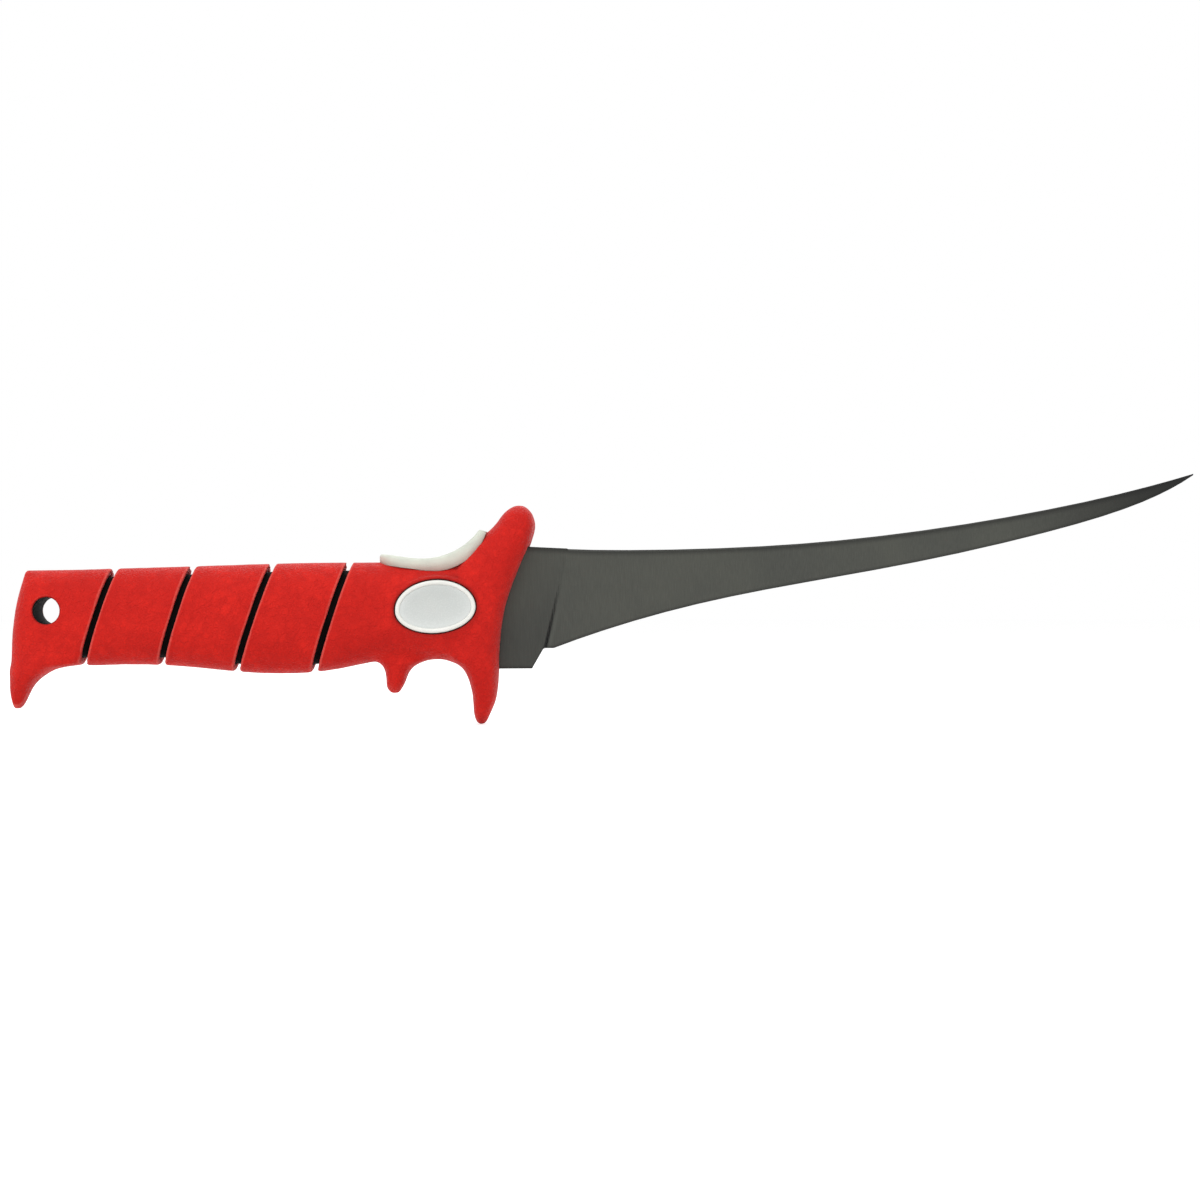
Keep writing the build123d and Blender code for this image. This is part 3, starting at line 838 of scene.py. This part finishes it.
def clearHole(mesh):
    # keeps the lanyard hole round and open
    points = readPoints(mesh)
    radius = np.hypot(points[:, 0], points[:, 2])
    narrow = radius < rubberForm["holeRadius"]
    factor = rubberForm["holeRadius"] / np.maximum(radius[narrow], 1e-9)
    points[narrow, 0] *= factor
    points[narrow, 2] *= factor
    writePoints(mesh, points)
    # painted shade in a ring round the hole
    away = np.hypot(points[:, 0], points[:, 2]) - rubberForm["holeRadius"]
    storeShade(mesh, away, rubberForm["holeShade"])


def rippleSurface(mesh):
    # the shallow unevenness of soft rubber, only ever inwards
    points = readPoints(mesh)
    normals = readNormals(mesh, points)
    size = rubberForm["rippleSize"] * mm
    octaves = rubberForm["rippleNoise"]
    ripple = np.array([noise.fractal(Vector(point) / size, *octaves) for point in points])
    depth = np.clip(0.5 + 0.5 * ripple, 0, 1) * rubberForm["rippleDepth"]
    points -= normals * depth[:, None]
    writePoints(mesh, points)


def makeRubberPiece(nodeName, pieceName):
    mesh = weldedMesh(nodeName, pieceName)
    piece = newPiece(pieceName, mesh, redRubber, "red_rubber", nodeName)
    remesh = piece.modifiers.new("skin", "REMESH")
    remesh.mode = "VOXEL"
    remesh.voxel_size = rubberForm["voxel"]
    applyModifiers(piece)
    roundForm(nodeName, piece.data)
    if nodeName == "grip_front":
        evenArch(piece.data)
        clearMedallion(piece.data)
    if nodeName == "grip_pommel":
        softenTail(piece.data)
        clearHole(piece.data)
    storeBend(piece.data, rubberForm["bendRounds"])
    rippleSurface(piece.data)
    piece.data.shade_smooth()
    piece.data.name = pieceName
    print(pieceName, "has", len(piece.data.vertices), "vertices")


for nodeName, pieceName in rubberPieces.items():
    makeRubberPiece(nodeName, pieceName)


# Blade
bladeForm = {
    "start": 128.8 * mm,  # inside the guard
    "heel": 156.8 * mm,  # past the plunge line
    "heelStep": 0.25 * mm,
    "step": 1.2 * mm,
    "spineRows": (0.0, 0.12, 0.28, 0.5, 0.9, 1.6),  # mm under the spine
    "edgeRows": (0.0, 0.2, 0.5, 0.9, 1.6),  # mm over the edge
    "middleRows": 15,
    "bandShare": 0.3,  # most of the blade's height that the spine rows may take
    "tipCut": 0.02 * mm,  # short of the very point
    "leastHalf": 0.03 * mm,  # half thickness of the cutting edge
    "inset": 1e-7,  # outermost rows are read this far inside the section, in metres
    "sharpAngle": 38,
}


def sectionCutter(nodeName):
    # gives the outline segments of a node's section at any x
    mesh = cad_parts[nodeName].data
    mesh.calc_loop_triangles()
    corners = np.empty(len(mesh.loop_triangles) * 3, dtype=np.int64)
    mesh.loop_triangles.foreach_get("vertices", corners)
    triangles = readPoints(mesh)[corners].reshape(-1, 3, 3)

    def cut(x):
        away = triangles[:, :, 0] - x
        crossing = triangles[(away.min(1) < 0) & (away.max(1) > 0)]
        segments = []
        for triangle in crossing:
            ends = []
            for first, second in ((0, 1), (1, 2), (2, 0)):
                a, b = triangle[first], triangle[second]
                if (a[0] - x) * (b[0] - x) < 0:
                    share = (x - a[0]) / (b[0] - a[0])
                    ends.append((a + (b - a) * share)[1:])
            if len(ends) == 2:
                segments.append(ends)
        return np.array(segments)

    return cut


def halfAt(segments, level):
    # half thickness of a section at a level
    low = segments[:, :, 1].min(1)
    high = segments[:, :, 1].max(1)
    reached = segments[(low <= level) & (high >= level)]
    if not len(reached):
        return 0.0
    run = reached[:, 1, 1] - reached[:, 0, 1]
    share = (level - reached[:, 0, 1]) / np.where(run == 0, 1, run)
    share = np.where(np.abs(run) > 1e-12, share, 0.5)
    sides = np.abs(reached[:, 0, 0] + share * (reached[:, 1, 0] - reached[:, 0, 0]))
    return float(sides.max())


def rowLevels(low, high):
    # levels of the rows from edge to spine, closer together near both
    room = bladeForm["bandShare"] * (high - low) / (bladeForm["spineRows"][-1] * mm)
    room = min(1.0, room)
    lower = [low + row * mm * room for row in bladeForm["edgeRows"]]
    upper = [high - row * mm * room for row in reversed(bladeForm["spineRows"])]
    middle = np.linspace(lower[-1], upper[0], bladeForm["middleRows"] + 2)[1:-1]
    return [*lower, *middle, *upper]


def makeBlade():
    cut = sectionCutter("blade")
    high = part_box("blade")[1]
    tip = high.x - bladeForm["tipCut"]
    places = [
        *np.arange(bladeForm["start"], bladeForm["heel"], bladeForm["heelStep"]),
        *np.arange(bladeForm["heel"], tip - bladeForm["step"], bladeForm["step"]),
        tip,
    ]
    form = bmesh.new()
    spine = form.verts.layers.float.new("fromSpine")
    edge = form.verts.layers.float.new("fromEdge")
    tipFar = form.verts.layers.float.new("fromTip")
    sides = {-1: [], 1: []}
    for x in places:
        segments = cut(x)
        bottom, top = segments[:, :, 1].min(), segments[:, :, 1].max()
        levels = rowLevels(bottom, top)
        lowest, highest = bottom + bladeForm["inset"], top - bladeForm["inset"]
        inner = [min(max(level, lowest), highest) for level in levels]
        halves = [halfAt(segments, level) for level in inner]
        for side, columns in sides.items():
            column = []
            for level, half in zip(levels, halves):
                half = max(half, bladeForm["leastHalf"])
                vertex = form.verts.new((x, side * half, level))
                vertex[spine] = (top - level) / mm
                vertex[edge] = (level - bottom) / mm
                vertex[tipFar] = (high.x - x) / mm
                column.append(vertex)
            columns.append(column)
    for side, columns in sides.items():
        for first, second in zip(columns, columns[1:]):
            for row in range(len(first) - 1):
                form.faces.new((first[row], second[row], second[row + 1], first[row + 1]))
    for first, second, across, beside in zip(sides[-1], sides[-1][1:], sides[1], sides[1][1:]):
        form.faces.new((first[-1], second[-1], beside[-1], across[-1]))
        form.faces.new((first[0], second[0], beside[0], across[0]))
    for index in (0, -1):
        right, left = sides[-1][index], sides[1][index]
        for row in range(len(right) - 1):
            form.faces.new((right[row], right[row + 1], left[row + 1], left[row]))
    bmesh.ops.recalc_face_normals(form, faces=form.faces)
    mesh = bpy.data.meshes.new("bladeGround")
    form.to_mesh(mesh)
    form.free()
    smoothShade(mesh, bladeForm["sharpAngle"])
    newPiece("bladeGround", mesh, bladeCoating, "blade_coating", "blade")


tangForm = {
    "cutTolerance": 0.0001 * mm,
    "sharpAngle": 30,
}


def makeTang():
    # the hidden rear of the blade, cut from the CAD mesh where the ground part starts
    mesh = weldedMesh("blade", "bladeTang")
    form = bmesh.new()
    form.from_mesh(mesh)
    cutPlace = Vector((bladeForm["start"], 0, 0))
    parts = form.verts[:] + form.edges[:] + form.faces[:]
    result = bmesh.ops.bisect_plane(
        form,
        geom=parts,
        dist=tangForm["cutTolerance"],
        plane_co=cutPlace,
        plane_no=(1, 0, 0),
        clear_outer=True,
    )
    rim = [item for item in result["geom_cut"] if isinstance(item, bmesh.types.BMEdge)]
    bmesh.ops.holes_fill(form, edges=rim)
    bmesh.ops.recalc_face_normals(form, faces=form.faces)
    form.to_mesh(mesh)
    form.free()
    smoothShade(mesh, tangForm["sharpAngle"])
    newPiece("bladeTang", mesh, bladeCoating, "blade_coating", "blade")


makeBlade()
makeTang()
print("blade made")


# Medallions
dishForm = {
    "rings": 20,
    "segments": 96,
    "depth": 0.55 * mm,  # middle of the panel below its edge
    "power": 2.2,  # 2 would be a round bowl, more is flatter in the middle
    "edgeRound": 0.12 * mm,  # how far the outermost ring lies below the dish's curve
    "paleMiddle": 0.3,  # share of the paler tone in the middle
    "paleFoot": 0.5,  # how much more of it the foot of the panel has, as painted light
    "paleRim": 0.75,  # and its border, as a painted highlight
    "palePower": 6,
    "sharpAngle": 60,
}


def ovalPoint(turn, share, inset):
    # a point on the medallion's outline, drawn in by the inset and shrunk to the share
    height = medallion["rise"] if math.sin(turn) > 0 else medallion["fall"]
    along = share * (medallion["halfLength"] - inset) * math.cos(turn)
    rise = share * (height - inset) * math.sin(turn)
    cosTilt, sinTilt = math.cos(medallion["tilt"]), math.sin(medallion["tilt"])
    x = medallion["place"][0] + along * cosTilt - rise * sinTilt
    return x, medallion["place"][1] + rise * cosTilt + along * sinTilt


def makeDish(side):
    # a panel with a shallow dish, glossy inside its rim, with painted light that makes its foot and
    # border paler
    nodeName = "medallion_panel_" + side
    low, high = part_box(nodeName)
    facing = -1 if side == "right" else 1
    top, bottom = (-low.y, -high.y) if side == "right" else (high.y, low.y)
    form = bmesh.new()
    rows = []
    for ring in range(1, dishForm["rings"] + 1):
        share = ring / dishForm["rings"]
        level = top - dishForm["depth"] * (1 - share ** dishForm["power"])
        if ring == dishForm["rings"]:
            level -= dishForm["edgeRound"]
        rows.append((share, level))
    rows.append((1.0, bottom))
    built = []
    pale = form.verts.layers.float.new("pale")
    for share, level in rows:
        row = []
        for index in range(dishForm["segments"]):
            turn = 2 * math.pi * index / dishForm["segments"]
            x, z = ovalPoint(turn, share, medallion["rimWidth"])
            vertex = form.verts.new((x, facing * level, z))
            # painted light: paler towards the panel's foot and its border
            drop = (medallion["place"][1] - z) / medallion["fall"]
            tone = dishForm["paleMiddle"] + dishForm["paleFoot"] * drop
            tone += dishForm["paleRim"] * share ** dishForm["palePower"]
            vertex[pale] = min(1.0, max(0.0, tone))
            row.append(vertex)
        built.append(row)
    middle = facing * (top - dishForm["depth"])
    centre = form.verts.new((medallion["place"][0], middle, medallion["place"][1]))
    centre[pale] = dishForm["paleMiddle"]
    count = dishForm["segments"]
    for index in range(count):
        after = (index + 1) % count
        form.faces.new((centre, built[0][index], built[0][after]))
        for inner, outer in zip(built, built[1:]):
            form.faces.new((inner[index], outer[index], outer[after], inner[after]))
    form.faces.new(built[-1])
    bmesh.ops.recalc_face_normals(form, faces=form.faces)
    mesh = bpy.data.meshes.new("medallionDish_" + side)
    form.to_mesh(mesh)
    form.free()
    storeBend(mesh, 0)
    smoothShade(mesh, dishForm["sharpAngle"])
    newPiece("medallionDish_" + side, mesh, greyPlastic, "grey_plastic", nodeName)


for side in ("right", "left"):
    makeDish(side)


# Pieces that keep their CAD form
smoothedPieces = {
    # node: piece, material, slot and the angle from which an edge is sharp
    "medallion_rim_right": ("medallionRim_right", whitePlastic, "white_plastic", 50),
    "medallion_rim_left": ("medallionRim_left", whitePlastic, "white_plastic", 50),
    "thumb_rest": ("thumbRest", creamPlastic, "cream_plastic", 50),
    "lanyard_bush": ("lanyardBush", blackPlastic, "black_plastic", 40),
}
for nodeName, (pieceName, material, slot, sharpAngle) in smoothedPieces.items():
    mesh = weldedMesh(nodeName, pieceName)
    smoothShade(mesh, sharpAngle)
    newPiece(pieceName, mesh, material, slot, nodeName)

insides = {"core_right": blackPlastic, "core_left": blackPlastic, "core_rivets": rivetSteel}
for nodeName, material in insides.items():
    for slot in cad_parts[nodeName].material_slots:
        slot.material = material
print("plastic pieces made")


# Stage and light
stageSetup = {
    "floorRadius": 6.0,
    "floorSegments": 96,
    "floorGap": 0.05 * mm,  # under the knife
    "floorColour": (0.88, 0.88, 0.88),
    "floorDrift": (0.86, 0.86, 0.86),
    "floorPatches": 3.0,
    "floorAmount": 0.4,
    "floorRoughness": 0.9,
    "floorLift": 0.45,  # white added for the camera, which keeps the floor as white as the backdrop
    "skyStrength": 0.62,
}
lamps = {
    # name: place, size and power; all aim at the knife
    "keyLamp": ((0.05, -0.85, 1.05), 0.9, 7.5),
    "fillLamp": ((-0.75, -0.9, 0.25), 0.8, 2.6),
    "rearLamp": ((0.30, 0.95, 0.95), 0.9, 7.0),
}


def whiteForViewer(tree):
    # 1 for the camera, mirror and glass rays that should meet plain white
    rays = addNode(tree, "ShaderNodeLightPath")
    seen = mathNode(tree, "MAXIMUM", rays.outputs["Is Camera Ray"], rays.outputs["Is Glossy Ray"])
    return mathNode(tree, "MAXIMUM", seen, rays.outputs["Is Transmission Ray"])


def makeStage():
    material = bpy.data.materials.new("studioFloor")
    material.use_nodes = True
    tree = material.node_tree
    principled = tree.nodes["Principled BSDF"]
    setInputs(principled, Roughness=stageSetup["floorRoughness"], Specular_IOR_Level=0.0)
    place = addNode(tree, "ShaderNodeTexCoord").outputs["Object"]
    amount = stageSetup["floorAmount"]
    drift = useGroup(tree, toneDrift, Patches=stageSetup["floorPatches"], Amount=amount)
    setDrift(drift, stageSetup["floorColour"], stageSetup["floorDrift"])
    tree.links.new(place, drift.inputs["Vector"])
    tree.links.new(drift.outputs["Colour"], principled.inputs["Base Color"])
    principled.inputs["Emission Color"].default_value = (1, 1, 1, 1)
    lift = mathNode(tree, "MULTIPLY", whiteForViewer(tree), stageSetup["floorLift"])
    tree.links.new(lift, principled.inputs["Emission Strength"])
    form = bmesh.new()
    radius, segments = stageSetup["floorRadius"], stageSetup["floorSegments"]
    bmesh.ops.create_circle(form, cap_ends=True, segments=segments, radius=radius)
    mesh = bpy.data.meshes.new("studioFloor")
    form.to_mesh(mesh)
    form.free()
    mesh.materials.append(material)
    floor = bpy.data.objects.new("studioFloor", mesh)
    floor.location = (cameraSetup["place"][0], 0, cadBox[0][2] - stageSetup["floorGap"])
    scene.collection.objects.link(floor)


def makeSky():
    world = bpy.data.worlds.new("studioSky")
    world.use_nodes = True
    scene.world = world
    tree = world.node_tree
    background = tree.nodes["Background"]
    background.inputs["Color"].default_value = (1, 1, 1, 1)
    strength = rampNode(tree, whiteForViewer(tree), 0.0, 1.0, stageSetup["skyStrength"], 1.0)
    tree.links.new(strength, background.inputs["Strength"])


def makeLamps():
    aim = Vector((cameraSetup["place"][0], 0, 0))
    for name, (place, size, power) in lamps.items():
        light = bpy.data.lights.new(name, "AREA")
        light.size = size
        light.energy = power
        lamp = bpy.data.objects.new(name, light)
        lamp.location = place
        lamp.rotation_euler = (aim - Vector(place)).to_track_quat("-Z", "Y").to_euler()
        scene.collection.objects.link(lamp)


placeCamera()
makeStage()
makeSky()
makeLamps()
scene.view_settings.view_transform = "Standard"
print("stage and light made")
